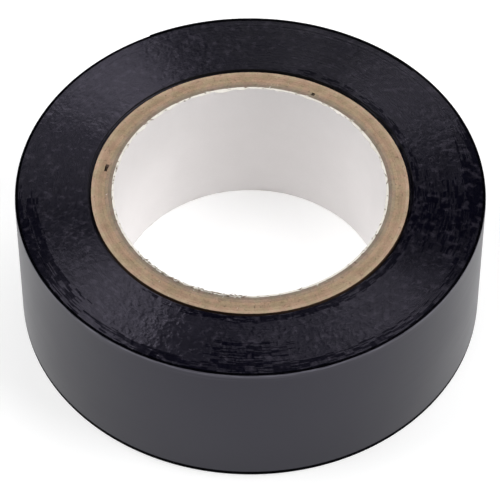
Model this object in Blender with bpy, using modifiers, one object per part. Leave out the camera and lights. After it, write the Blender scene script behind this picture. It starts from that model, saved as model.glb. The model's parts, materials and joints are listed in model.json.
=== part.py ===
"""Electrical tape roll: ten metres of black PVC tape wound on a spiral-wound paper core.

The roll lies flat. +Z is its axis, and the origin is the centre of its lower side face.
Every layer shares one set of facet angles, so that thin layers stay clear of each other.
The strip is one piece that is wound up. Its last stretch, the free end, lifts off the roll
at the peel line and curls back, a little at each of its bend lines.
Lengths are in metres and angles in degrees.
"""

import math

import bmesh
import bpy
from mathutils import Matrix, Vector

MM = 0.001

# The tape: a PVC film with a layer of adhesive on its inner side.
TAPE_LENGTH = 10.0
TAPE_WIDTH = 19.0 * MM
FILM_THICKNESS = 0.11 * MM
ADHESIVE_THICKNESS = 0.02 * MM
TURN_PITCH = FILM_THICKNESS + ADHESIVE_THICKNESS

# The core: a white paper liner inside six brown kraft plies, glued face to face.
BORE_RADIUS = 16.0 * MM
CORE_LENGTH = 18.8 * MM
LINER_THICKNESS = 0.20 * MM
PLY_THICKNESS = 0.37 * MM
PLY_COUNT = 6
GLUE_THICKNESS = 0.03 * MM
CORE_TO_TAPE_GAP = 0.10 * MM

# Each ply is a paper strip wound as a helix, edge to edge. Its edges meet at a butt seam.
PLY_STRIP_WIDTH = 60.0 * MM
SEAM_GAP = 0.30 * MM
LINER_SEAM_ANGLE = 190.0
FIRST_PLY_SEAM_ANGLE = -42.0
PLY_SEAM_STAGGER = 104.5

# Facets. The free end bends at the corners between facets, which are counted from +X.
FACETS = 96
FACET_ANGLE = 360.0 / FACETS
PEEL_FACET = 18
BEND_COUNT = 8
CUT_END_FACET = 31
BEND_CLEARANCE = 0.15 * MM
STRIP_START_CLEARANCE = 0.30 * MM

# Radii that follow from the sizes above.
LINER_OUTER_RADIUS = BORE_RADIUS + LINER_THICKNESS
PLY_PITCH = PLY_THICKNESS + GLUE_THICKNESS
CORE_OUTER_RADIUS = LINER_OUTER_RADIUS + PLY_COUNT * PLY_PITCH
TAPE_INNER_RADIUS = CORE_OUTER_RADIUS + CORE_TO_TAPE_GAP
TAPE_OUTER_RADIUS = math.sqrt(TAPE_INNER_RADIUS**2 + TAPE_LENGTH * TURN_PITCH / math.pi)
BEND_ANGLES = [(PEEL_FACET + index) * FACET_ANGLE for index in range(BEND_COUNT)]
PEEL_ANGLE = BEND_ANGLES[0]
CUT_END_ANGLE = CUT_END_FACET * FACET_ANGLE

# Materials: base colour, roughness.
BLACK_PVC = ("black_pvc", (0.022, 0.022, 0.026), 0.34)
KRAFT_PAPER = ("kraft_paper", (0.40, 0.29, 0.19), 0.85)
WHITE_PAPER = ("white_paper", (0.84, 0.82, 0.79), 0.75)

BLADE_OVERHANG = 1.0 * MM
MERGE_DISTANCE = 1e-6


def clear_scene():
    for obj in list(bpy.data.objects):
        bpy.data.objects.remove(obj, do_unlink=True)
    for collection in list(bpy.data.collections):
        bpy.data.collections.remove(collection)


def new_collection(name):
    collection = bpy.data.collections.new(name)
    bpy.context.scene.collection.children.link(collection)
    return collection


def make_material(name, colour, roughness):
    material = bpy.data.materials.new(name)
    material.use_nodes = True
    shader = material.node_tree.nodes["Principled BSDF"]
    shader.inputs["Base Color"].default_value = (*colour, 1.0)
    shader.inputs["Roughness"].default_value = roughness
    shader.inputs["Metallic"].default_value = 0.0
    material.diffuse_color = (*colour, 1.0)
    return material


def on_circle(radius, angle, height=0.0):
    """The point at this radius and angle around the roll's axis."""
    turn = math.radians(angle)
    return Vector((radius * math.cos(turn), radius * math.sin(turn), height))


def degrees_along(length, radius):
    """The angle that a length spans on a circle of this radius."""
    return math.degrees(length / radius)


def facet_angles(start, end):
    """The start, every facet corner strictly inside, and the end."""
    first = math.floor(start / FACET_ANGLE + 1e-6) + 1
    last = math.ceil(end / FACET_ANGLE - 1e-6) - 1
    corners = [facet * FACET_ANGLE for facet in range(first, last + 1)]
    return [start, *corners, end]


def film_outer_radius(angle):
    """Outer radius of the strip, at an angle counted along the winding up to the cut end."""
    return TAPE_OUTER_RADIUS - TURN_PITCH * (CUT_END_ANGLE - angle) / 360.0


def film_middle(angle, height=0.0):
    """A point halfway through the film."""
    return on_circle(film_outer_radius(angle) - FILM_THICKNESS / 2, angle, height)


def add_object(name, data, collection, material=None):
    obj = bpy.data.objects.new(name, data)
    collection.objects.link(obj)
    if material:
        data.materials.append(material)
    return obj


def mesh_from(name, bm):
    mesh = bpy.data.meshes.new(name)
    bm.to_mesh(mesh)
    bm.free()
    return mesh


def add_seam_blade(name, inner, outer, top_angle, collection):
    """A helical blade that leaves a butt seam of SEAM_GAP in a ply between two radii."""
    turn_length = math.pi * (inner + outer)
    slope = math.asin(PLY_STRIP_WIDTH / turn_length)
    drop_per_facet = turn_length * math.tan(slope) * FACET_ANGLE / 360.0
    steps = math.ceil((CORE_LENGTH + 2 * BLADE_OVERHANG) / drop_per_facet)
    height = SEAM_GAP / math.cos(slope)
    top = (TAPE_WIDTH + CORE_LENGTH) / 2
    lead_in = BLADE_OVERHANG / drop_per_facet * FACET_ANGLE

    bm = bmesh.new()
    bmesh.ops.create_grid(bm, x_segments=1, y_segments=1, size=0.5)
    across = (outer - inner) + 2 * BLADE_OVERHANG
    to_section = (
        Matrix.Rotation(math.radians(top_angle - lead_in), 4, "Z")
        @ Matrix.Translation(((inner + outer) / 2, 0, top + BLADE_OVERHANG))
        @ Matrix.Rotation(math.radians(90), 4, "X")
        @ Matrix.Diagonal((across, height, 1, 1))
    )
    bmesh.ops.transform(bm, matrix=to_section, verts=bm.verts)
    bmesh.ops.spin(
        bm,
        geom=bm.faces[:] + bm.edges[:] + bm.verts[:],
        axis=(0, 0, 1),
        cent=(0, 0, 0),
        dvec=(0, 0, -drop_per_facet),
        angle=math.radians(steps * FACET_ANGLE),
        steps=steps,
    )
    bmesh.ops.recalc_face_normals(bm, faces=bm.faces[:])
    blade = add_object(name, mesh_from(name, bm), collection)
    blade.hide_render = True
    blade.display_type = "WIRE"
    return blade


def add_ply(name, inner, thickness, seam_angle, material, collection, cutters):
    """One paper ply of the core: a turned ring, slit along its butt seam."""
    outer = inner + thickness
    low = (TAPE_WIDTH - CORE_LENGTH) / 2
    high = low + CORE_LENGTH
    bm = bmesh.new()
    corners = [(outer, high), (outer, low), (inner, low), (inner, high)]
    points = [bm.verts.new((x, 0, z)) for x, z in corners]
    for start, end in zip(points, points[1:] + points[:1]):
        bm.edges.new((start, end))
    ply = add_object(name, mesh_from(name, bm), collection, material)

    turned = ply.modifiers.new("turned", "SCREW")
    turned.axis = "Z"
    turned.angle = math.radians(360)
    turned.steps = turned.render_steps = FACETS
    turned.use_merge_vertices = True
    turned.merge_threshold = MERGE_DISTANCE

    seam = ply.modifiers.new("butt_seam", "BOOLEAN")
    seam.operation = "DIFFERENCE"
    seam.solver = "EXACT"
    seam.object = add_seam_blade(f"{name}_seam_blade", inner, outer, seam_angle, cutters)
    return ply


def add_core(collection, cutters, kraft, white):
    add_ply("core_liner", BORE_RADIUS, LINER_THICKNESS, LINER_SEAM_ANGLE, white, collection, cutters)
    for index in range(PLY_COUNT):
        inner = LINER_OUTER_RADIUS + GLUE_THICKNESS + index * PLY_PITCH
        angle = FIRST_PLY_SEAM_ANGLE + index * PLY_SEAM_STAGGER
        add_ply(f"core_ply_{index + 1}", inner, PLY_THICKNESS, angle, kraft, collection, cutters)


def add_outline(curve, points):
    spline = curve.splines.new("POLY")
    spline.points.add(len(points) - 1)
    for target, point in zip(spline.points, points):
        target.co = (point.x, point.y, 0, 1)
    spline.use_cyclic_u = True


def add_wound_turns(collection, material):
    """Every turn below the last one. They stick to each other and move as one solid."""
    curve = bpy.data.curves.new("tape_wound_turns", "CURVE")
    curve.dimensions = "2D"
    curve.fill_mode = "BOTH"
    curve.extrude = TAPE_WIDTH / 2
    outside = facet_angles(PEEL_ANGLE - 360, PEEL_ANGLE)
    add_outline(curve, [on_circle(film_outer_radius(a) - TURN_PITCH, a) for a in outside])
    inside = [facet * FACET_ANGLE for facet in range(FACETS)]
    add_outline(curve, [on_circle(TAPE_INNER_RADIUS, a) for a in inside])
    turns = add_object("tape_wound_turns", curve, collection, material)
    turns.location.z = TAPE_WIDTH / 2
    return turns


def add_film(name, start, end, collection, material, pivot=None, pivot_point=None):
    """A stretch of the strip, as a surface on its outer side that Solidify thickens inwards."""
    bm = bmesh.new()
    line = [bm.verts.new(on_circle(film_outer_radius(a), a)) for a in facet_angles(start, end)]
    edges = [bm.edges.new(pair) for pair in zip(line, line[1:])]
    grown = bmesh.ops.extrude_edge_only(bm, edges=edges)["geom"]
    upper = [item for item in grown if isinstance(item, bmesh.types.BMVert)]
    bmesh.ops.translate(bm, verts=upper, vec=(0, 0, TAPE_WIDTH))
    bm.normal_update()
    for face in bm.faces:
        if face.normal.dot(face.calc_center_median() * Vector((1, 1, 0))) < 0:
            face.normal_flip()
    origin = pivot_point or Vector()
    bmesh.ops.translate(bm, verts=bm.verts[:], vec=-origin)

    film = add_object(name, mesh_from(name, bm), collection, material)
    film.parent = pivot
    if not pivot:
        film.location = origin
    thickness = film.modifiers.new("film_thickness", "SOLIDIFY")
    thickness.thickness = FILM_THICKNESS
    thickness.offset = -1
    thickness.use_even_offset = True
    return film


def add_outer_turn(collection, material):
    """The last full turn, up to the peel line."""
    radius = TAPE_OUTER_RADIUS
    start = PEEL_ANGLE - 360 + degrees_along(STRIP_START_CLEARANCE, radius)
    end = PEEL_ANGLE - degrees_along(BEND_CLEARANCE, radius)
    return add_film("tape_outer_turn", start, end, collection, material)


def add_free_end(collection, material):
    """The stretches between the bend lines. Each hangs on an empty that is its hinge."""
    clearance = degrees_along(BEND_CLEARANCE, TAPE_OUTER_RADIUS)
    starts = [angle + clearance for angle in BEND_ANGLES]
    ends = [angle - clearance for angle in BEND_ANGLES[1:]] + [CUT_END_ANGLE]
    parent, parent_point = None, Vector()
    for index, (bend, start, end) in enumerate(zip(BEND_ANGLES, starts, ends), 1):
        hinge_point = film_middle(bend, TAPE_WIDTH / 2)
        hinge = add_object(f"bend_line_{index}", None, collection)
        hinge.parent = parent
        hinge.location = hinge_point - parent_point
        name = f"tape_free_end_{index}"
        add_film(name, start, end, collection, material, hinge, hinge_point)
        parent, parent_point = hinge, hinge_point


def shade(collection):
    """Smooth shading on the round faces, and flat shading across sharp edges."""
    for obj in collection.objects:
        if obj.type == "MESH":
            obj.data.shade_smooth()
            obj.data.set_sharp_from_angle(angle=math.radians(30))


def main():
    clear_scene()
    collection = new_collection("electrical_tape_roll")
    cutters = new_collection("cutters")
    pvc = make_material(*BLACK_PVC)
    kraft = make_material(*KRAFT_PAPER)
    white = make_material(*WHITE_PAPER)
    add_core(collection, cutters, kraft, white)
    add_wound_turns(collection, pvc)
    add_outer_turn(collection, pvc)
    add_free_end(collection, pvc)
    shade(collection)


main()
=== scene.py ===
"""The looks of the electrical tape roll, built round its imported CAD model.

The roll's sizes and places come from the frame: the plies and turns take their radii, heights
and seams from the CAD nodes that they replace, and the bend lines are the record's joints. The
other constants are for the camera, the light, the colours and the fine surface. Lengths are in
metres and angles in degrees. The roll's axis is Z, and angles are counted from +X.
"""

import json
import math

import bpy
import numpy as np
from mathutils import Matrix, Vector


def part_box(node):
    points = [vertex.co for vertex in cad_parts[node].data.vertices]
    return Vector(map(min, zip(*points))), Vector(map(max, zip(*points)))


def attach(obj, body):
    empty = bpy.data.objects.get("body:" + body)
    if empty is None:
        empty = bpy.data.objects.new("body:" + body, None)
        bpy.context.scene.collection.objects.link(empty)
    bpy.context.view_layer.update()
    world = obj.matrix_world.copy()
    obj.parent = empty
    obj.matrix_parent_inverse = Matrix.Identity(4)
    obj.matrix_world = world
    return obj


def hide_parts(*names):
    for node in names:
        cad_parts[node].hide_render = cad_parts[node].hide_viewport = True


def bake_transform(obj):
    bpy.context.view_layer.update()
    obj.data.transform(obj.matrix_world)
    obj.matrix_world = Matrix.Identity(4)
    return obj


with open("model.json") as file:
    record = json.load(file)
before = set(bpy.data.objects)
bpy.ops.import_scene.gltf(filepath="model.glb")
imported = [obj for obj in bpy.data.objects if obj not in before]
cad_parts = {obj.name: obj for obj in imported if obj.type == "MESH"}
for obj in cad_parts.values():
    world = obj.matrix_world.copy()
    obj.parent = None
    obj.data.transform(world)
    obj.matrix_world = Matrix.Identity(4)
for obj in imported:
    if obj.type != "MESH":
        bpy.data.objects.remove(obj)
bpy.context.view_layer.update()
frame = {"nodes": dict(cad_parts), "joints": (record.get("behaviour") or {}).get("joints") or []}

MM = 0.001
rng = np.random.default_rng(19)

# The camera: a long lens, looking down at the roll from the front, and aimed this far off the
# middle of the roll.
CAMERA_ELEVATION = 50.365
CAMERA_DISTANCE = 393.3 * MM
CAMERA_SHIFT = (-0.011 * MM, -1.462 * MM)
LENS = 238.1
SENSOR = 36.0

# The softboxes, as in a small studio: a large one on each side, one overhead, a weak one at the
# back right, and low ones behind and at the front left. Each has an azimuth, an elevation, a
# width in metres and a radiance.
SOFTBOX_DISTANCE = 0.9
SOFTBOXES = [
    ("right", 350, 45, 0.70, 5.2),
    ("left", 170, 50, 0.70, 4.3),
    ("overhead", 60, 70, 0.45, 2.2),
    ("back_right", 55, 42, 0.45, 1.6),
    ("low_back", 85, 24, 0.45, 1.0),
    ("low_front_left", 240, 20, 0.45, 2.5),
]

# The CAD's round faces are this many flat facets. A seam's corners lie at least this far off them.
CAD_FACETS = 96
OFF_FACET = 0.1
# How closely a CAD vertex has to match a height or an angle.
HEIGHT_MATCH = 0.01 * MM
ANGLE_MATCH = 0.01

# The strip. Its edges are slit, so their corners are slightly rounded. Its faces are shaded
# sharp where they meet at more than FILM_CORNER. The steps are the angles between sections.
EDGE_CHAMFER = 0.018 * MM
FILM_CORNER = 30.0
WOUND_STEP = 2.25
OUTER_STEP = 0.5
FREE_END_STEP = 0.25

# The end faces of the wound tape aren't quite flat: the first turns lie deeper, and the last
# ones a little lower, behind a groove. The angle is where the deep part is a turn wider.
INNER_RECESS = 0.55 * MM
INNER_RECESS_TURNS = 2.4
WIDE_RECESS_ANGLE = 18.0
RECESS_SLOPE_TURNS = 0.8
OUTER_BAND_TURNS = 10.0
OUTER_BAND_DROP = 0.07 * MM
BAND_GROOVE = 0.05 * MM
TURN_SCATTER = 0.006 * MM
TURN_SCATTER_ANGLE = 90.0
BAND_SCATTER = 0.010 * MM
BAND_SCATTER_ANGLE = 2100.0
EDGE_LEAN = 0.020 * MM
EDGE_LEAN_ANGLE = 64.0
# The last turns, whose slit edges are near-black: painted shade along the rim.
RIM_TURNS = 3.2
# Patches where the slit edges reflect less, painting shade on parts of the end faces: the middle
# and half width of the arc, its first and last turn counted from the outside, and how much of it is
# covered.
SHADED_AREAS = [
    (202, 24, 3, 20, 0.90),
    (3, 22, 0, 18, 0.90),
    (351, 17, 0, 67, 0.65),
    (270, 13, 5, 36, 0.60),
    (270, 85, 0, 11, 0.60),
    (300, 75, 59, 67, 0.85),
    (40, 50, 59, 67, 0.60),
]
PATCH_TURNS = 2.0
PATCH_ANGLE = 2.6
PATCH_RAGGED = (0.6, 0.8)
# How far the outer turn's face draws in near its upper and lower edge, and how far from it. The
# upper lip's faces are pale grey: a painted highlight along the rim.
WORN_LIP = [
    (0.0, 0.34 * MM),
    (0.008 * MM, 0.19 * MM),
    (0.026 * MM, 0.08 * MM),
    (0.046 * MM, 0.02 * MM),
]
# The lower lip's faces are near-black: painted shade, the contact shadow along the lower edge.
LOWER_LIP = [
    (0.0, 0.62 * MM),
    (0.010 * MM, 0.40 * MM),
    (0.028 * MM, 0.15 * MM),
    (0.046 * MM, 0.02 * MM),
]

# The core's plies, as cut paper, and how far the seams that gape are open at the upper end.
PLY_COLUMNS = 360
PLY_ROWS = 24
PLY_SWELL = 0.012 * MM
PLY_EDGE = 0.028 * MM
PAPER_ROUGHNESS = 0.014 * MM
TIGHT_SEAM = 0.03 * MM
OPEN_SEAM_DEPTH = 1.8 * MM
OPEN_SEAMS = {"core_liner": 0.40 * MM, "core_ply_2": 0.45 * MM, "core_ply_3": 1.05 * MM}
# The saw tears the inner edge: how deep, in how many degrees, and the rows that show it.
TORN = {"core_liner": 0.085 * MM, "core_ply_1": 0.060 * MM}
TORN_SPACING = 2.6
TORN_ROWS = (0.12 * MM, 0.28 * MM)
# Torn fibres: nubs along the inner edge and crumbs on the plies. Half stand on one side.
TORN_SIDE = (218, 268)
NUB_INSET = (-0.05 * MM, 0.20 * MM)
NUB_LENGTH = (0.15 * MM, 0.60 * MM)
NUB_THICKNESS = (0.028 * MM, 0.085 * MM)
NUB_STRAY = 22
CRUMB_LENGTH = (0.10 * MM, 0.34 * MM)
CRUMB_THICKNESS = (0.014 * MM, 0.036 * MM)
FIBRE_CURL = (-60, 60)
FIBRE_LIFT = (-0.1, 0.45)
FIBRE_TAPER = 0.8
FIBRE_SUNK = 0.02 * MM
FIBRE_TOP = 0.08 * MM
FIBRE_SIDES, FIBRE_STEPS = 4, 5
UP = np.array([0.0, 0.0, 1.0])

# Colours: pairs run from the dark to the light end of a material's clouds.
EDGE_BLACK = ((0.0001, 0.0001, 0.0020, 1), (0.0006, 0.0005, 0.0050, 1))
EDGE_DUST = (0.018, 0.016, 0.024, 1)
# Near-black for the slit edges at the rim and for the lower lip: painted shade.
RIM_SHADE_BLACK = ((0.0003, 0.0003, 0.0009, 1), (0.0045, 0.0045, 0.007, 1))
# Pale grey for the upper lip of the outer turn: a painted highlight along the rim.
LIP_HIGHLIGHT_GREY = ((0.022, 0.021, 0.028, 1), (0.085, 0.082, 0.098, 1))
FILM_BLACK = ((0.0004, 0.0003, 0.0020, 1), (0.0014, 0.0011, 0.0042, 1))
FILM_SCUFF = (0.032, 0.030, 0.038, 1)
ADHESIVE_BLACK = ((0.010, 0.010, 0.011, 1), (0.024, 0.023, 0.023, 1))
WHITE_CUT = ((0.60, 0.56, 0.50), (0.78, 0.75, 0.69))
WHITE_FACE = ((0.745, 0.72, 0.715), (0.78, 0.755, 0.75))
KRAFT_CUT = ((0.223, 0.154, 0.096), (0.354, 0.259, 0.175))
# Dark ply faces: glue, darkened further as painted shade in the open seams and at the seams' cut
# ends.
KRAFT_GLUE_AND_SHADE = ((0.034, 0.020, 0.012), (0.075, 0.046, 0.027))
# The outer ply's face: stained by the tape's adhesive, and darkened further as painted shade in the
# gap to the tape.
KRAFT_STAIN_AND_SHADE = ((0.036, 0.018, 0.010), (0.090, 0.046, 0.022))
KRAFT_TORN = ((0.13, 0.10, 0.075), (0.34, 0.28, 0.22))
# For each ply from the inner one: how bright its cut end is, and how grey. The inner ply's darker,
# greyer end is painted shade along the core's inner edge.
PLY_TONES = [(0.74, 0.35), (0.92, 0.15), (1.04, 0.0), (0.94, 0.0), (1.04, 0.0), (1.22, 0.12)]
# PVC film: its gloss at a right angle is slightly violet.
FILM_TINT = (0.80, 0.77, 1.0, 1)
SLIT_TINT = (0.86, 0.80, 1.0, 1)
# Refractive index of the slit edges, where they are glossy, and where they reflect less as painted
# shade.
SLIT_REFRACTION, SHADED_PATCH_REFRACTION = 1.5, 1.22
# Recycled fibre mottles the brown paper towards these hues, with dark flecks.
KRAFT_REDDISH = (1.06, 0.965, 0.97)
KRAFT_OLIVE = (0.975, 1.0, 0.93)
KRAFT_FLECK = (0.62, 0.62, 0.62)
# How far from the edges of the outer turn its face is streaked by handling.
EDGE_STREAKS = 1.3 * MM

# Noise in the materials: cells per metre, or along and across the strip.
EDGE_PATCHES = 420.0
EDGE_LUMPS = 1400.0
EDGE_BLOTCHES = 1250.0
BRUSHING = (6.0, 5200.0)
RIM_DUST = 2600.0
LIP_HIGHLIGHT_MOTTLE = (420.0, 5200.0)
FILM_LINES = (60.0, 3200.0)
FILM_CLOUDS = (150.0, 150.0)
FILM_GRAIN = (9000.0, 9000.0)
FILM_STREAKS = (110.0, 4200.0)
ADHESIVE_MOTTLE = (900.0, 1400.0)
KRAFT_CLOUDS = 700.0
KRAFT_HUES = 850.0
KRAFT_FLECKS = 2300.0
KRAFT_CUT_FIBRES = 5200.0
KRAFT_FACE_FIBRES = 3000.0
WHITE_CLOUDS = 260.0
WHITE_FIBRES = 4200.0

# The stage: a floor that glows softly, under a sky that is pale only near the horizon.
FLOOR_HALF = 2.0
FLOOR_WHITE = (0.62, 0.62, 0.62, 1)
FLOOR_GLOW = 0.52
HORIZON = (0.04, (0.9, 0.9, 0.9, 1))
OVERHEAD = (0.20, (0.02, 0.02, 0.02, 1))


# ---------------------------------------------------------------- measuring the frame


def node_polar(node):
    """Radius, angle and height of every vertex of a CAD node."""
    points = np.array([v.co for v in frame["nodes"][node].data.vertices], float)
    angle = np.degrees(np.arctan2(points[:, 1], points[:, 0]))
    return np.hypot(points[:, 0], points[:, 1]), angle, points[:, 2]


def mean_angle(angles):
    """The middle of a few angles that lie close together, also across 180."""
    turn = np.exp(1j * np.radians(angles)).mean()
    return math.degrees(math.atan2(turn.imag, turn.real))


def seam_angle(node, height):
    """Where a ply's butt seam is at this height of an end: its corners lie off the facets."""
    _, angle, z = node_polar(node)
    facet = 360.0 / CAD_FACETS
    off = np.abs(angle / facet - np.round(angle / facet)) * facet
    return mean_angle(angle[(np.abs(z - height) < HEIGHT_MATCH) & (off > OFF_FACET)])


def read_strip():
    """The winding's radius and angles: from the outer turn, the last stretch and the hinges."""
    hinges = [Vector(joint["pos_m"]) for joint in frame["joints"]]
    peel = math.degrees(math.atan2(hinges[0].y, hinges[0].x))
    radius, angle, _ = node_polar(sorted(n for n in frame["nodes"] if "free_end" in n)[-1])
    cut = angle.max()
    at_cut = radius[angle > cut - ANGLE_MATCH]
    film = at_cut.max() - at_cut.min()
    outer_r, outer_a, _ = node_polar("tape_outer_turn")
    first = outer_a[outer_a > peel].min()
    last = outer_a[outer_a < peel].max()
    at_first = outer_r[np.abs(outer_a - first) < ANGLE_MATCH].max()
    at_last = outer_r[np.abs(outer_a - last) < ANGLE_MATCH].max()
    pitch = (at_last - at_first) * 360.0 / (last - (first - 360.0))
    inside = node_polar("tape_wound_turns")[0].min()
    return {
        "hinges": hinges,
        "cut": cut,
        "radius": at_cut.max(),
        "film": film,
        "pitch": pitch,
        "outer_start": first - 360.0,
        "start": cut - (at_cut.max() - inside - film) / pitch * 360.0,
        "low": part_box("tape_wound_turns")[0].z,
        "high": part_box("tape_wound_turns")[1].z,
    }


STRIP = read_strip()


def film_outer_radius(angle):
    """Outer radius of the strip, at an angle counted along the winding up to the cut end."""
    return STRIP["radius"] - STRIP["pitch"] * (STRIP["cut"] - angle) / 360.0


# ---------------------------------------------------------------- meshes


def swept_mesh(name, rings, strips, materials, coordinates=None):
    """A closed solid: one closed section per station, joined by quads and capped at both ends.

    strips gives the material of each strip of quads, from section point i to i + 1, for all
    stations or for each of them.
    """
    stations, size = rings.shape[:2]
    first = (np.arange(stations - 1) * size)[:, None]
    corner = np.arange(size)[None, :]
    following = (np.arange(size)[None, :] + 1) % size
    here, beside = first + corner, first + following
    quads = np.stack([here, beside, beside + size, here + size], axis=2).reshape(-1, 4)
    faces = quads.tolist()
    faces.append(list(range(size))[::-1])
    faces.append([(stations - 1) * size + i for i in range(size)])
    mesh = bpy.data.meshes.new(name)
    mesh.from_pydata(rings.reshape(-1, 3).tolist(), [], faces)
    for material in materials:
        mesh.materials.append(material)
    slots = np.broadcast_to(np.array(strips, np.int32), (stations - 1, size)).ravel()
    caps = [slots[0], slots[-size]]
    mesh.polygons.foreach_set("material_index", np.append(slots, caps).astype(np.int32))
    if coordinates is not None:
        layer = mesh.uv_layers.new(name="along_strip")
        vertex = np.empty(len(mesh.loops), np.int32)
        mesh.loops.foreach_get("vertex_index", vertex)
        corners = coordinates.reshape(-1, 2)[vertex].astype(np.float32)
        layer.data.foreach_set("uv", corners.ravel())
    mesh.update()
    return mesh


def add_piece(name, mesh, sharp=None):
    """The mesh as an object, shaded smooth, or sharp where faces meet at more than this angle."""
    mesh.shade_smooth()
    if sharp is not None:
        mesh.set_sharp_from_angle(angle=math.radians(sharp))
    obj = bpy.data.objects.new(name, mesh)
    bpy.context.scene.collection.objects.link(obj)
    return obj


def smooth_noise(positions, spacing, amplitude):
    """Noise along a line: random values every spacing, joined smoothly."""
    low, high = positions.min(), positions.max()
    count = int((high - low) / spacing) + 3
    values = rng.normal(0.0, amplitude, count)
    place = (positions - low) / spacing
    left = np.floor(place).astype(int)
    part = place - left
    part = part * part * (3 - 2 * part)
    return values[left] * (1 - part) + values[left + 1] * part


def on_circle(radius, angle, height):
    """Points at these radii, angles and heights."""
    turn = np.radians(angle)
    return np.stack([radius * np.cos(turn), radius * np.sin(turn), height + 0 * radius], axis=-1)


# ---------------------------------------------------------------- the strip

OUTER_FACE, SLIT_EDGE, ADHESIVE_FACE, RIM_SHADE_EDGE, LIP_HIGHLIGHT_EDGE, SHADED_PATCH_EDGE = range(6)


def film_rings(angles, low, high, lip, lower_lip, lean):
    """Sections of the film at these angles of the winding, between these heights.

    lip and lower_lip list how far the outer face draws in, and how far from its end, from the
    face to the corner. lean is how much lower the slit edge's outer corner lies than its inner.
    """
    outer = film_outer_radius(angles)
    inner = outer - STRIP["film"]
    corner = lip[-1][0] + EDGE_CHAMFER
    drop_out, drop_in = np.maximum(lean, 0.0), np.maximum(-lean, 0.0)
    section = [(outer - corner, high - drop_out)]
    section += [(outer - inset, high - depth - drop_out) for inset, depth in reversed(lip)]
    section += [(outer - inset, low + depth + drop_out) for inset, depth in lower_lip]
    section += [
        (outer - corner, low + drop_out),
        (inner + EDGE_CHAMFER, low + drop_in),
        (inner, low + drop_in + EDGE_CHAMFER),
        (inner, high - drop_in - EDGE_CHAMFER),
        (inner + EDGE_CHAMFER, high - drop_in),
    ]
    rings = np.stack([on_circle(radius, angles, height) for radius, height in section], axis=1)
    # The upper lip's faces are pale grey, a painted highlight; the lower lip's faces are
    # near-black, painted shade.
    upper_lip_highlight, lower_lip_shade = [LIP_HIGHLIGHT_EDGE] * (len(lip) - 1), [RIM_SHADE_EDGE] * (len(lower_lip) - 1)
    faces = [SLIT_EDGE, *upper_lip_highlight, OUTER_FACE, *lower_lip_shade, *[SLIT_EDGE] * 3, ADHESIVE_FACE]
    faces += [SLIT_EDGE] * 2
    along = np.radians(angles) * outer
    coordinates = np.stack([np.stack([along, z + 0 * along], axis=-1) for _, z in section], axis=1)
    return rings, faces, coordinates


def edge_lean(angles):
    """The knife leaves the slit edges leaning a little, outwards on two quarters of the roll."""
    return EDGE_LEAN * np.cos(np.radians(2 * (angles - EDGE_LEAN_ANGLE)))


def end_face_drop(angles):
    """How far the tape's end face lies below the CAD face, along the winding."""
    from_inside = (angles - STRIP["start"]) / 360.0
    from_outside = (STRIP["cut"] - angles) / 360.0
    widening = np.clip(np.cos(np.radians(angles - WIDE_RECESS_ANGLE)), 0, 1) ** 4
    recess_turns = INNER_RECESS_TURNS + widening
    recess = INNER_RECESS * np.clip((recess_turns - from_inside) / RECESS_SLOPE_TURNS, 0, 1)
    band = OUTER_BAND_DROP * np.clip(1 - from_outside / OUTER_BAND_TURNS, 0, 1)
    from_groove = np.abs(from_outside - OUTER_BAND_TURNS - 0.5)
    groove = BAND_GROOVE * np.clip(1 - from_groove / RECESS_SLOPE_TURNS, 0, 1)
    scatter = smooth_noise(angles, TURN_SCATTER_ANGLE, TURN_SCATTER)
    scatter = scatter + smooth_noise(angles, BAND_SCATTER_ANGLE, BAND_SCATTER)
    return np.clip(recess + band + groove + scatter + 2 * TURN_SCATTER, 0, None)


def shaded_share(angles, turns):
    """How much of the slit edge reflects less as painted shade, along the winding: less near an
    area's borders.
    """
    share = 0 * angles
    for middle, half, first, last, amount in SHADED_AREAS:
        away = np.abs((angles - middle + 180) % 360 - 180)
        along = np.clip(1.5 * (1 - away / half), 0, 1)
        across = np.clip(1 + np.minimum(turns - first, last - turns) / 2, 0, 1)
        share = np.maximum(share, amount * along * across)
    return share


def shaded_patches(angles, turns):
    """Whether each stretch of the slit edge gets the painted shade: in patches a few turns wide."""
    row_shift, column_shift = [rng.normal(0, ragged, len(angles)) for ragged in PATCH_RAGGED]
    rows = np.floor(turns / PATCH_TURNS + row_shift).astype(int)
    columns = np.floor((angles % 360) / PATCH_ANGLE + column_shift).astype(int)
    rows, columns = rows - rows.min(), columns - columns.min()
    chance = rng.uniform(0, 1, (rows.max() + 1, columns.max() + 1))
    return chance[rows, columns] < shaded_share(angles, turns)


def add_wound_turns(materials):
    """Every turn below the outer one, as one strip whose slit edges make the side faces."""
    end = STRIP["outer_start"]
    angles = np.append(np.arange(STRIP["start"], end - WOUND_STEP / 2, WOUND_STEP), end)
    high = STRIP["high"] - end_face_drop(angles)
    low = STRIP["low"] + end_face_drop(angles)
    corner = [(0.0, EDGE_CHAMFER)]
    rings, faces, coordinates = film_rings(angles, low, high, corner, corner, edge_lean(angles))
    strips = np.tile(np.array(faces), (len(angles) - 1, 1))
    turns = (STRIP["cut"] - angles[1:]) / 360.0
    in_rim, dimmed = turns < RIM_TURNS, shaded_patches(angles[1:], turns)
    # The slit edges of the last turns are near-black: painted shade along the rim.
    strips[in_rim[:, None] & (strips == SLIT_EDGE)] = RIM_SHADE_EDGE
    # Patches of the slit edges reflect less: painted shade on parts of the end faces.
    strips[dimmed[:, None] & (strips == SLIT_EDGE)] = SHADED_PATCH_EDGE
    mesh = swept_mesh("wound_turns", rings, strips, materials, coordinates)
    wound = add_piece("wound_turns", mesh, sharp=FILM_CORNER)
    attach(wound, "roll")
    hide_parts("tape_wound_turns")


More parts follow.
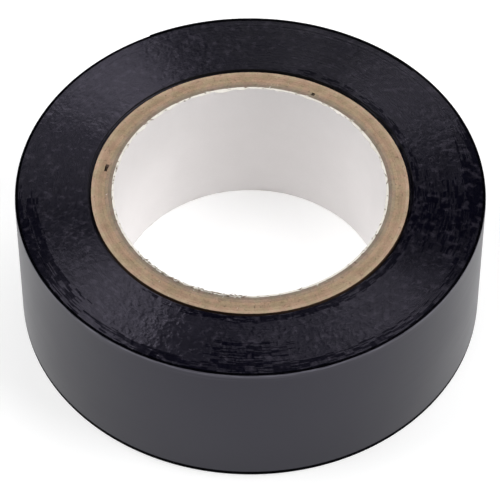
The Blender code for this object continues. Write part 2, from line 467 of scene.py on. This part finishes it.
def add_film(name, angles, materials):
    """A stretch of the outer turn or the free end, whose outer corners are rounded by wear. The
    upper corner is pale, a painted highlight; the lower corner and the slit edges are near-black,
    painted shade.
    """
    low = STRIP["low"] + OUTER_BAND_DROP + 0 * angles
    high = STRIP["high"] - OUTER_BAND_DROP + 0 * angles
    lean = edge_lean(angles)
    rings, faces, coordinates = film_rings(angles, low, high, WORN_LIP, LOWER_LIP, lean)
    strips = np.tile(np.array(faces), (len(angles) - 1, 1))
    # All slit edges of the outer turn and the free end are near-black: painted shade along the rim.
    strips[strips == SLIT_EDGE] = RIM_SHADE_EDGE
    mesh = swept_mesh(name, rings, strips, materials, coordinates)
    return add_piece(name, mesh, sharp=FILM_CORNER)


def evenly(start, end, step):
    """Angles from start to end, about a step apart."""
    return np.linspace(start, end, max(2, int(round((end - start) / step)) + 1))


def add_outer_strip(materials):
    """The outer turn, and the free end in pieces, one for each hinge."""
    hinge_angles = [math.degrees(math.atan2(p.y, p.x)) for p in STRIP["hinges"]]
    spacing = hinge_angles[1] - hinge_angles[0]
    joins = [angle + spacing / 2 for angle in hinge_angles[:-1]]
    root = hinge_angles[0] - spacing
    outer = add_film("outer_turn", evenly(STRIP["outer_start"], root, OUTER_STEP), materials)
    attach(outer, "roll")
    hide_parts("tape_outer_turn")
    starts = [root, *joins]
    ends = [*joins, STRIP["cut"]]
    for index, (joint, start, end) in enumerate(zip(frame["joints"], starts, ends), 1):
        piece = add_film(f"free_end_{index}", evenly(start, end, FREE_END_STEP), materials)
        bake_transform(piece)
        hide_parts(f"tape_free_end_{index}")


# ---------------------------------------------------------------- the core

PAPER_FACE, PAPER_CUT = range(2)


def add_ply(node, materials):
    """A paper ply: a helical strip with a butt seam, whose cut ends are rough."""
    radius = node_polar(node)[0]
    inner, outer = radius.min() - PLY_SWELL, radius.max() + PLY_SWELL
    if node == "core_liner":
        inner += PLY_SWELL
    low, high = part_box(node)[0].z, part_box(node)[1].z
    top_seam = seam_angle(node, high)
    sweep = (seam_angle(node, low) - top_seam) % 360.0

    even_rows = np.linspace(high - PLY_EDGE, low + PLY_EDGE, PLY_ROWS + 1)
    torn_rows = [*(high - np.array(TORN_ROWS)), *(low + np.array(TORN_ROWS))]
    rows = np.sort(np.append(even_rows, torn_rows))[::-1]
    edge = PLY_EDGE / 2
    across = np.array([0.2, 0.5, 0.8])
    section_r = np.concatenate(
        [
            [outer] * len(rows),
            [outer - edge],
            outer - across * (outer - inner),
            [inner + edge],
            [inner] * len(rows),
            [inner + edge],
            inner + across * (outer - inner),
            [outer - edge],
        ]
    )
    end_points = len(across) + 2
    section_z = np.concatenate([rows, [low] * end_points, rows[::-1], [high] * end_points])
    kinds = ([PAPER_FACE] * (len(rows) - 1) + [PAPER_CUT] * (end_points + 1)) * 2
    is_end = (section_z < low + PLY_EDGE / 4) | (section_z > high - PLY_EDGE / 4)

    columns = np.linspace(0, 1, PLY_COLUMNS + 1)
    # The seam opens to one side, and at the cut end to an oval hole.
    opening = OPEN_SEAMS.get(node, TIGHT_SEAM)
    near_top = np.clip(1 - (high - section_z) / OPEN_SEAM_DEPTH, 0, 1)
    gap = TIGHT_SEAM + (opening - TIGHT_SEAM) * np.clip(2 * near_top, 0, 1)
    bulge = np.sqrt(np.sin(np.pi * np.clip((section_r - inner) / (outer - inner), 0, 1)))
    gap = np.where(is_end, TIGHT_SEAM + (gap - TIGHT_SEAM) * bulge, gap)
    opened = np.degrees(gap / section_r)
    seam = top_seam + sweep * (high - section_z) / (high - low)
    angle = seam + opened + columns[:, None] * (360.0 - opened)
    shape = (len(columns), len(section_r))
    z = section_z + np.where(is_end, rng.normal(0, PAPER_ROUGHNESS, shape), 0.0)
    sink = np.where(section_z > (low + high) / 2, -1.0, 1.0) * PAPER_ROUGHNESS * 1.5
    z = z + np.where(is_end, sink, 0.0)
    torn = np.abs(smooth_noise(columns * 360.0, TORN_SPACING, TORN.get(node, 0.0)))[:, None]
    from_end = np.minimum(high - section_z, section_z - low)
    at_edge = np.clip(1 - from_end / TORN_ROWS[-1], 0, 1) * (section_r < (inner + outer) / 2)
    z = np.clip(z + np.sign(sink) * torn * at_edge, low, high)
    r = section_r + np.where(is_end, rng.normal(0, PAPER_ROUGHNESS / 2, shape), 0.0)
    r = r - torn * at_edge
    rings = on_circle(r, angle, z)
    mesh = swept_mesh(node.replace("core_", ""), rings, kinds, materials)
    ply = add_piece(node.replace("core_", "paper_"), mesh)
    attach(ply, "roll")
    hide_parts(node)


def fibre(start, heading, curl, lift, length, thick, top):
    """A tapering, bent fibre: its vertices, ring by ring, none of them above top."""
    centre = start
    tube = []
    for step in range(FIBRE_STEPS):
        part = step / (FIBRE_STEPS - 1)
        way = math.radians(heading + curl * part)
        forward = np.array([math.cos(way), math.sin(way), lift * (1 - part)])
        side = np.array([-math.sin(way), math.cos(way), 0.0])
        width = thick * (1 - FIBRE_TAPER * part)
        for k in range(FIBRE_SIDES):
            turn = 2 * math.pi * (k + 0.5) / FIBRE_SIDES
            tube.append(centre + width * (side * math.cos(turn) + UP * math.sin(turn)))
        centre = centre + forward * length / (FIBRE_STEPS - 1)
    tube = np.array(tube)
    tube[:, 2] = np.minimum(tube[:, 2], top)
    return tube


def fibre_faces(first):
    """The faces of the fibre whose vertices start at this index."""
    rows = first + FIBRE_SIDES * np.arange(FIBRE_STEPS)
    quads = []
    for row in rows[:-1]:
        for k in range(FIBRE_SIDES):
            here, beside = row + k, row + (k + 1) % FIBRE_SIDES
            quads.append((here, beside, beside + FIBRE_SIDES, here + FIBRE_SIDES))
    caps = [tuple(rows[0] + k for k in reversed(range(FIBRE_SIDES)))]
    caps.append(tuple(rows[-1] + k for k in range(FIBRE_SIDES)))
    return [tuple(int(i) for i in face) for face in quads + caps]


def add_fibres(name, material, nubs, crumbs):
    """Fibres that the saw left standing: nubs along the core's inner edge, crumbs on its plies."""
    inner = node_polar("core_liner")[0].max()
    outer = node_polar("core_ply_6")[0].max()
    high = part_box("core_liner")[1].z
    vertices, faces = [], []
    for index in range(nubs + crumbs):
        angle = rng.uniform(*TORN_SIDE) if index % 2 else rng.uniform(0, 360)
        if index < nubs:
            radius = inner - rng.uniform(*NUB_INSET)
            heading = angle + rng.choice([90.0, -90.0]) + rng.normal(0, NUB_STRAY)
            length, thick = rng.uniform(*NUB_LENGTH), rng.uniform(*NUB_THICKNESS)
        else:
            radius = rng.uniform(inner, outer)
            heading = rng.uniform(0, 360)
            length, thick = rng.uniform(*CRUMB_LENGTH), rng.uniform(*CRUMB_THICKNESS)
        start = on_circle(np.array(radius), np.array(angle), high - FIBRE_SUNK)
        curl, lift = rng.uniform(*FIBRE_CURL), rng.uniform(*FIBRE_LIFT)
        tube = fibre(start, heading, curl, lift, length, thick, high + FIBRE_TOP)
        faces += fibre_faces(len(vertices))
        vertices += tube.tolist()
    mesh = bpy.data.meshes.new(name)
    mesh.from_pydata(vertices, [], faces)
    mesh.materials.append(material)
    fibres = add_piece(name, mesh)
    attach(fibres, "roll")


# ---------------------------------------------------------------- materials


class Shader:
    """A material's node tree, with short ways to add nodes."""

    def __init__(self, name):
        self.material = bpy.data.materials.new(name)
        self.material.use_nodes = True
        self.tree = self.material.node_tree
        self.principled = self.tree.nodes["Principled BSDF"]

    def node(self, kind, inputs=None, **settings):
        made = self.tree.nodes.new(kind)
        for key, value in settings.items():
            setattr(made, key, value)
        for key, value in (inputs or {}).items():
            self.put(made.inputs[key], value)
        return made

    def put(self, socket, value):
        if isinstance(value, bpy.types.NodeSocket):
            self.tree.links.new(value, socket)
        else:
            socket.default_value = value

    def set(self, **values):
        for key, value in values.items():
            self.put(self.principled.inputs[key.replace("_", " ")], value)

    def math(self, operation, *values):
        return self.node("ShaderNodeMath", dict(enumerate(values)), operation=operation).outputs[0]

    def vector_math(self, operation, *values):
        return self.node("ShaderNodeVectorMath", dict(enumerate(values)), operation=operation)

    def noise(self, vector, scale, detail, roughness=0.55):
        inputs = {"Vector": vector, "Scale": scale, "Detail": detail, "Roughness": roughness}
        return self.node("ShaderNodeTexNoise", inputs).outputs["Fac"]

    def between(self, value, low, high, from_low=0.0, from_high=1.0):
        inputs = {
            "Value": value,
            "From Min": from_low,
            "From Max": from_high,
            "To Min": low,
            "To Max": high,
        }
        return self.node("ShaderNodeMapRange", inputs).outputs["Result"]

    def above(self, value, low, high):
        """0 below low, 1 above high, and even between them."""
        return self.between(value, 0.0, 1.0, low, high)

    def blend_of(self, first, second, share):
        """The first value times its share, plus the second times the rest."""
        first = self.math("MULTIPLY", first, share)
        return self.math("ADD", first, self.math("MULTIPLY", second, 1 - share))

    def mix(self, factor, first, second):
        made = self.node("ShaderNodeMix", data_type="RGBA")
        self.put(made.inputs["Factor"], factor)
        self.put(made.inputs[6], first)
        self.put(made.inputs[7], second)
        return made.outputs[2]

    def bump(self, height, strength, distance):
        inputs = {"Height": height, "Strength": strength, "Distance": distance}
        return self.node("ShaderNodeBump", inputs).outputs["Normal"]

    def position(self):
        return self.node("ShaderNodeTexCoord").outputs["Object"]

    def polar(self, around, outward):
        """Coordinates that run slowly round the axis and fast across it, with no seam."""
        place = self.position()
        flat = self.vector_math("MULTIPLY", place, (1, 1, 0)).outputs[0]
        radius = self.vector_math("LENGTH", flat).outputs["Value"]
        round_axis = self.vector_math("NORMALIZE", flat).outputs[0]
        scaled = self.vector_math("SCALE", round_axis)
        scaled.inputs["Scale"].default_value = around
        rise = self.node("ShaderNodeCombineXYZ", {"Z": self.math("MULTIPLY", radius, outward)})
        return self.vector_math("ADD", scaled.outputs[0], rise.outputs[0]).outputs[0]


def slit_edge_material(name, refraction):
    """The slit edges of the wound film: black, brushed round the axis, glossier with refraction.
    With the lower refraction it is the painted shade of the patches.
    """
    s = Shader(name)
    streaks = s.noise(s.polar(*BRUSHING), 1.0, 4.0)
    patches = s.noise(s.position(), EDGE_PATCHES, 3.0)
    lumps = s.noise(s.position(), EDGE_LUMPS, 1.0)
    blotches = s.noise(s.position(), EDGE_BLOTCHES, 1.5)
    dust = s.above(blotches, 0.55, 0.72)
    tone = s.mix(dust, s.mix(patches, *EDGE_BLACK), EDGE_DUST)
    rough = s.math("ADD", s.between(streaks, 0.26, 0.44), s.between(patches, -0.12, 0.12))
    height = s.math("ADD", s.math("MULTIPLY", streaks, 0.25), s.above(lumps, 0.42, 0.78))
    s.set(Base_Color=tone, Roughness=rough, IOR=refraction, Specular_Tint=SLIT_TINT)
    s.set(Anisotropic=0.85, Anisotropic_Rotation=0.25, Normal=s.bump(height, 0.8, 0.034 * MM))
    tangent = s.node("ShaderNodeTangent", direction_type="RADIAL", axis="Z")
    s.set(Tangent=tangent.outputs[0])
    return s.material


def rim_shade_material():
    """The slit edges next to the rim and the lower lip of the outer turn: near-black and matt, with
    almost no reflection, as painted shade.
    """
    s = Shader("pvc_rim_edges_painted_shade")
    dust = s.noise(s.position(), RIM_DUST, 3.0)
    s.set(Base_Color=s.mix(s.above(dust, 0.5, 0.75), *RIM_SHADE_BLACK))
    s.set(Roughness=s.between(dust, 0.55, 0.75), IOR=1.05, Normal=s.bump(dust, 0.5, 0.02 * MM))
    return s.material


def lip_highlight_material():
    """The upper corner of the outer turn, pale grey in mottled patches: a painted highlight along
    the rim.
    """
    s = Shader("pvc_lip_painted_highlight")
    highlight_mottle = s.noise(strip_coordinates(s, *LIP_HIGHLIGHT_MOTTLE), 1.0, 3.0)
    s.set(Base_Color=s.mix(s.above(highlight_mottle, 0.35, 0.6), *LIP_HIGHLIGHT_GREY))
    s.set(Roughness=0.45, IOR=1.45, Specular_Tint=FILM_TINT)
    return s.material


def strip_coordinates(s, along, across):
    """Coordinates that run along the strip and across it, in cells per metre."""
    place = s.node("ShaderNodeUVMap", uv_map="along_strip").outputs["UV"]
    return s.vector_math("MULTIPLY", place, (along, across, 1)).outputs[0]


def outer_face_material():
    """The smooth face of the film: satin, with faint lines along the strip from the calender."""
    s = Shader("pvc_film_face")
    lines = s.noise(strip_coordinates(s, *FILM_LINES), 1.0, 3.0)
    clouds = s.noise(strip_coordinates(s, *FILM_CLOUDS), 1.0, 2.0)
    grain = s.noise(strip_coordinates(s, *FILM_GRAIN), 1.0, 2.0)
    streaks = s.noise(strip_coordinates(s, *FILM_STREAKS), 1.0, 2.0)
    rise = s.node("ShaderNodeSeparateXYZ", {0: s.position()}).outputs["Z"]
    top, bottom = STRIP["high"], STRIP["low"]
    at_top = s.above(rise, top - EDGE_STREAKS, top - 0.3 * EDGE_STREAKS)
    near, far = bottom + 0.2 * EDGE_STREAKS, bottom + 0.6 * EDGE_STREAKS
    at_bottom = s.between(rise, 1.0, 0.0, near, far)
    at_edges = s.math("ADD", at_top, at_bottom)
    scuffed = s.math("MULTIPLY", at_edges, s.above(streaks, 0.42, 0.68))
    tone = s.mix(scuffed, s.mix(clouds, *FILM_BLACK), FILM_SCUFF)
    rough = s.math("ADD", s.between(clouds, 0.31, 0.37), s.between(lines, -0.03, 0.03))
    height = s.math("ADD", s.blend_of(lines, grain, 0.5), scuffed)
    s.set(Base_Color=tone, Roughness=rough, IOR=1.445, Specular_Tint=FILM_TINT)
    s.set(Normal=s.bump(height, 0.12, 0.01 * MM))
    return s.material


def adhesive_material():
    """The sticky side of the film: rubber adhesive, glossier, with the mottle of the peel."""
    s = Shader("adhesive_coat")
    mottle = s.noise(strip_coordinates(s, *ADHESIVE_MOTTLE), 1.0, 4.0)
    s.set(Base_Color=s.mix(mottle, *ADHESIVE_BLACK), IOR=1.5)
    s.set(Roughness=s.between(mottle, 0.18, 0.42))
    s.set(Normal=s.bump(mottle, 0.4, 0.03 * MM))
    return s.material


def tinted(colour, tint):
    """The colour times the tint, opaque."""
    return (*(np.array(colour) * tint), 1)


def kraft_colour(s, dark, light, grain):
    """Brown paper: clouds of tone, and fibres a few tenths of a millimetre long."""
    place = s.position()
    clouds = s.noise(place, KRAFT_CLOUDS, 4.0, 0.6)
    fibres = s.noise(place, grain, 3.0, 0.7)
    factor = s.above(s.blend_of(clouds, fibres, 0.55), 0.33, 0.67)
    reddish = s.mix(factor, tinted(dark, KRAFT_REDDISH), tinted(light, KRAFT_REDDISH))
    olive = s.mix(factor, tinted(dark, KRAFT_OLIVE), tinted(light, KRAFT_OLIVE))
    hue = s.above(s.noise(place, KRAFT_HUES, 2.0), 0.42, 0.58)
    fleck = s.between(s.noise(place, KRAFT_FLECKS, 2.0), 0.0, 0.75, 0.62, 0.74)
    return s.mix(fleck, s.mix(hue, reddish, olive), tinted(dark, KRAFT_FLECK)), fibres


def kraft_end_material(name, dark, light):
    """The cut ends of the brown paper: open fibre."""
    s = Shader(name)
    colour, fibres = kraft_colour(s, dark, light, KRAFT_CUT_FIBRES)
    s.set(Base_Color=colour, Roughness=0.85, Normal=s.bump(fibres, 0.6, 0.05 * MM))
    return s.material


def kraft_face_material(name, dark, light):
    """The faces of the brown paper, dark with glue and with painted shade, seen only in its open
    seams and rim.
    """
    s = Shader(name)
    colour, fibres = kraft_colour(s, dark, light, KRAFT_FACE_FIBRES)
    s.set(Base_Color=colour, Roughness=0.8, Normal=s.bump(fibres, 0.3, 0.03 * MM))
    return s.material


def white_paper_material(name, dark, light):
    """The white liner: a smooth printing paper with faint formation clouds."""
    s = Shader(name)
    clouds = s.noise(s.position(), WHITE_CLOUDS, 4.0)
    fibres = s.noise(s.position(), WHITE_FIBRES, 3.0)
    factor = s.above(s.blend_of(clouds, fibres, 0.6), 0.3, 0.7)
    s.set(Base_Color=s.mix(factor, (*dark, 1), (*light, 1)), Roughness=0.62)
    s.set(Normal=s.bump(fibres, 0.2, 0.02 * MM))
    return s.material


# ---------------------------------------------------------------- the stage


def add_stage():
    """The floor: one square that meets the roll's lower face."""
    mesh = bpy.data.meshes.new("floor")
    half = FLOOR_HALF
    corners = [(-half, -half, 0), (half, -half, 0), (half, half, 0), (-half, half, 0)]
    mesh.from_pydata(corners, [], [(0, 1, 2, 3)])
    s = Shader("floor_white")
    s.set(Base_Color=FLOOR_WHITE, Roughness=0.9)
    s.set(Emission_Color=(1, 1, 1, 1), Emission_Strength=FLOOR_GLOW)
    mesh.materials.append(s.material)
    floor = bpy.data.objects.new("floor", mesh)
    floor.location.z = STRIP["low"]
    bpy.context.scene.collection.objects.link(floor)


def add_world():
    """Pale at the horizon and dim overhead, so that the lights shape the gloss."""
    world = bpy.data.worlds.new("studio")
    world.use_nodes = True
    tree = world.node_tree
    background = tree.nodes["Background"]
    direction = tree.nodes.new("ShaderNodeTexCoord")
    split = tree.nodes.new("ShaderNodeSeparateXYZ")
    ramp = tree.nodes.new("ShaderNodeValToRGB")
    tree.links.new(direction.outputs["Generated"], split.inputs[0])
    tree.links.new(split.outputs["Z"], ramp.inputs["Fac"])
    tree.links.new(ramp.outputs["Color"], background.inputs["Color"])
    low, high = ramp.color_ramp.elements
    low.position, low.color = HORIZON
    high.position, high.color = OVERHEAD
    background.inputs["Strength"].default_value = 1.0
    bpy.context.scene.world = world


def add_softbox(name, azimuth, elevation, size, radiance):
    """A disk light in this direction from the roll, facing it."""
    light = bpy.data.lights.new(name, "AREA")
    light.shape = "DISK"
    light.size = size
    light.energy = radiance * math.pi**2 * (size / 2) ** 2
    obj = bpy.data.objects.new(name, light)
    bpy.context.scene.collection.objects.link(obj)
    flat = math.cos(math.radians(elevation))
    x, y = flat * math.cos(math.radians(azimuth)), flat * math.sin(math.radians(azimuth))
    way = Vector((x, y, math.sin(math.radians(elevation))))
    obj.location = way * SOFTBOX_DISTANCE
    obj.rotation_mode = "QUATERNION"
    obj.rotation_quaternion = way.to_track_quat("Z", "Y")
    obj.visible_camera = False


def add_camera():
    """The camera, in front of the roll and looking down at it."""
    data = bpy.data.cameras.new("camera")
    data.lens = LENS
    data.sensor_width = SENSOR
    data.clip_start, data.clip_end = 0.01, 10.0
    camera = bpy.data.objects.new("camera", data)
    bpy.context.scene.collection.objects.link(camera)
    elevation = math.radians(CAMERA_ELEVATION)
    middle = (STRIP["low"] + STRIP["high"]) / 2
    back = Vector((0, -math.cos(elevation), math.sin(elevation)))
    camera.location = back * CAMERA_DISTANCE + Vector((*CAMERA_SHIFT, middle))
    camera.rotation_euler = (math.pi / 2 - elevation, 0, 0)
    bpy.context.scene.camera = camera


def main():
    add_camera()
    # In the order of the face kinds, from the outer face to the patches of painted shade.
    film_materials = [
        outer_face_material(),
        slit_edge_material("pvc_slit_edges", SLIT_REFRACTION),
        adhesive_material(),
        rim_shade_material(),
        lip_highlight_material(),
        slit_edge_material("pvc_slit_edges_painted_shade", SHADED_PATCH_REFRACTION),
    ]
    add_wound_turns(film_materials)
    add_outer_strip(film_materials)

    white_end = white_paper_material("white_paper_cut", *WHITE_CUT)
    white_face = white_paper_material("white_paper_face", *WHITE_FACE)
    add_ply("core_liner", [white_face, white_end])
    glue_and_shade_face = kraft_face_material("kraft_glue_and_shade", *KRAFT_GLUE_AND_SHADE)
    stain_and_shade_face = kraft_face_material("kraft_stain_and_shade", *KRAFT_STAIN_AND_SHADE)
    for index, (tone, grey) in enumerate(PLY_TONES, 1):
        dark, light = np.array(KRAFT_CUT) * tone
        dark = dark * (1 - grey) + dark.mean() * grey
        light = light * (1 - grey) + light.mean() * grey
        end = kraft_end_material(f"kraft_cut_{index}", dark, light)
        face = stain_and_shade_face if index == len(PLY_TONES) else glue_and_shade_face
        add_ply(f"core_ply_{index}", [face, end])
    kraft_torn = kraft_end_material("kraft_fibres", *KRAFT_TORN)
    add_fibres("kraft_fibres", kraft_torn, nubs=170, crumbs=110)
    add_fibres("white_fibres", white_end, nubs=70, crumbs=8)

    add_stage()
    add_world()
    for name, azimuth, elevation, size, radiance in SOFTBOXES:
        add_softbox(name, azimuth, elevation, size, radiance)
    bpy.context.scene.view_settings.view_transform = "Standard"


main()
